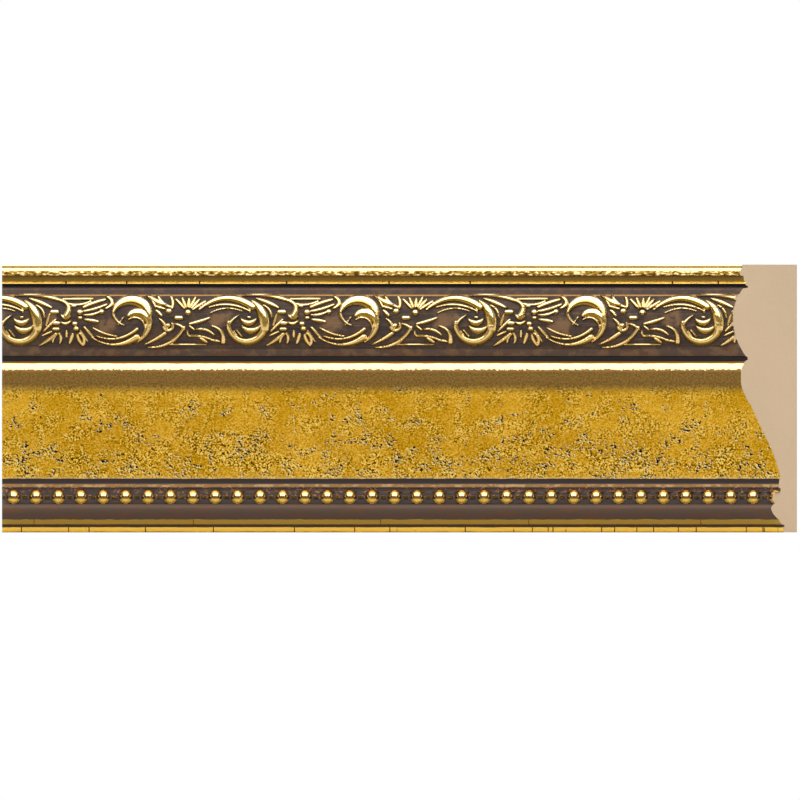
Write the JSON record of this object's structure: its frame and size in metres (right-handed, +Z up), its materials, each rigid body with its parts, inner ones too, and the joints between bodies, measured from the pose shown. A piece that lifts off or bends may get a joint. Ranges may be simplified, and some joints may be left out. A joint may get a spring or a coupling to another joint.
{
  "type": "wall moulding",
  "caption": "Length of gilded wall moulding with a running leaf scroll, a sloping face and a bead course, one end square and one mitred, to fix flat on a wall.",
  "frame": {"origin": "middle of the flat back, where the moulding lies on the wall", "axes": "+X along the moulding from the square end to the mitred end, +Y from the face into the wall, +Z up from the bead course to the leaf scroll"},
  "size_m": [0.282, 0.0241, 0.095],
  "materials": {
    "gilding": "antique gold foil, crackled and rubbed over umber, satin",
    "core": "bare beige foamed polystyrene, matte"
  },
  "bodies": {
    "root": {"moulding": "gilding"}
  },
  "joints": []
}
